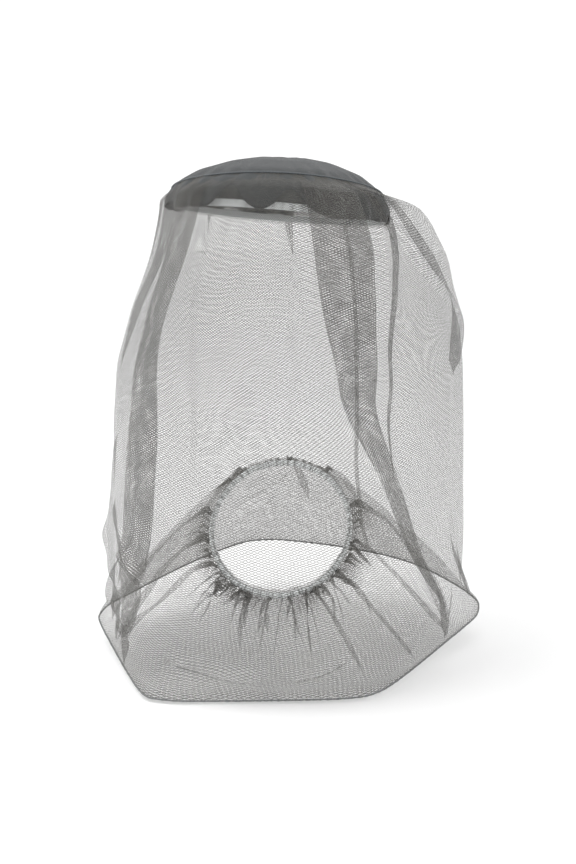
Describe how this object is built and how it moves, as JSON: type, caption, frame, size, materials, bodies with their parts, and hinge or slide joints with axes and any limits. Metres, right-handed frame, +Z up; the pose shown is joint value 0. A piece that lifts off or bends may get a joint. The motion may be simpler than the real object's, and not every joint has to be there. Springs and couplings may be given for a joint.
{
  "type": "beekeeping veil",
  "caption": "Sheer head net gathered on to a soft opaque crown cap, closed at the neck by an under-skirt and an elastic band.",
  "frame": {"origin": "the inside of the crown's top, where the wearer's head carries the veil", "axes": "+Z up along the head, -Y towards the face, +X towards the wearer's left"},
  "size_m": [0.2621, 0.2716, 0.343],
  "materials": {
    "crown_cloth": "matte",
    "hem_tape": "matte",
    "net": "matte",
    "skirt_net": "matte",
    "neck_casing": "matte",
    "neck_frill": "matte",
    "seam_thread": "matte",
    "elastic": "matte"
  },
  "bodies": {
    "veil": {"crown_cap": "crown_cloth", "crown_hem_tape": "hem_tape", "crown_elastic": "elastic", "crown_seam": "seam_thread", "veil_net": "net", "back_seam": "seam_thread", "edge_seam": "seam_thread", "skirt_net": "skirt_net"},
    "neck_band": {"neck_casing": "neck_casing", "neck_elastic": "elastic", "neck_frill": "neck_frill"}
  },
  "joints": [
    {"name": "neck_band_lift", "type": "slide", "parent": "veil", "child": "neck_band", "axis": [0, 0, 1], "range_m": [0, 0.055], "deforming": ["skirt_net"]}
  ]
}
